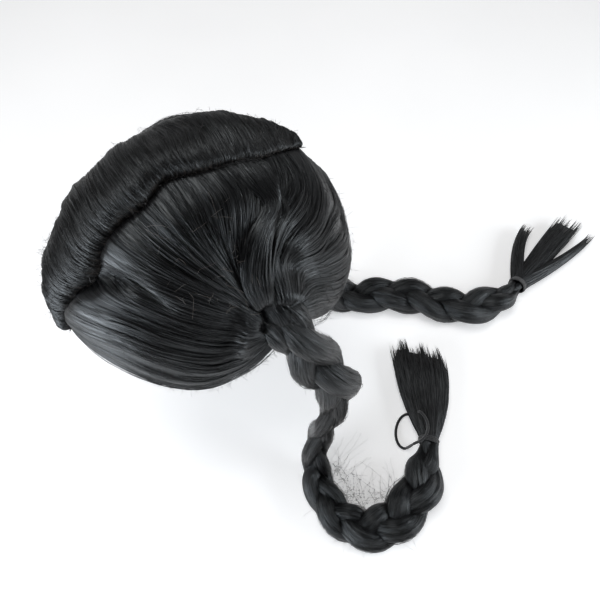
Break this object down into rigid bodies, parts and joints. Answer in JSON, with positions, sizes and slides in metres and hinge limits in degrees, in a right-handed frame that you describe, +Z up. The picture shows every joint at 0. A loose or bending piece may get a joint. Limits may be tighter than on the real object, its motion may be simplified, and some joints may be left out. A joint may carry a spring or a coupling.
{
  "type": "pigtail wig",
  "caption": "Black straight-hair wig on a thin cap, with a rolled crest over the crown and a long plaited pigtail behind each ear.",
  "frame": {"origin": "inside top of the cap, where the crown of the head touches it", "axes": "+Z up, +X to the wearer's left, -Y to the face, as worn upright"},
  "size_m": [0.3381, 0.5172, 0.3169],
  "materials": {
    "hair": "satin black synthetic fibre, combed",
    "cap_net": "matt black knitted net",
    "elastic": "matt black covered elastic"
  },
  "bodies": {
    "root": {"cap": "cap_net", "crest_roll": "hair", "hair_left": "hair", "hair_right": "hair", "braid_left": "hair", "braid_right": "hair", "tie_left": "elastic", "tie_right": "elastic", "tail_left": "hair", "tail_right": "hair"}
  },
  "joints": []
}
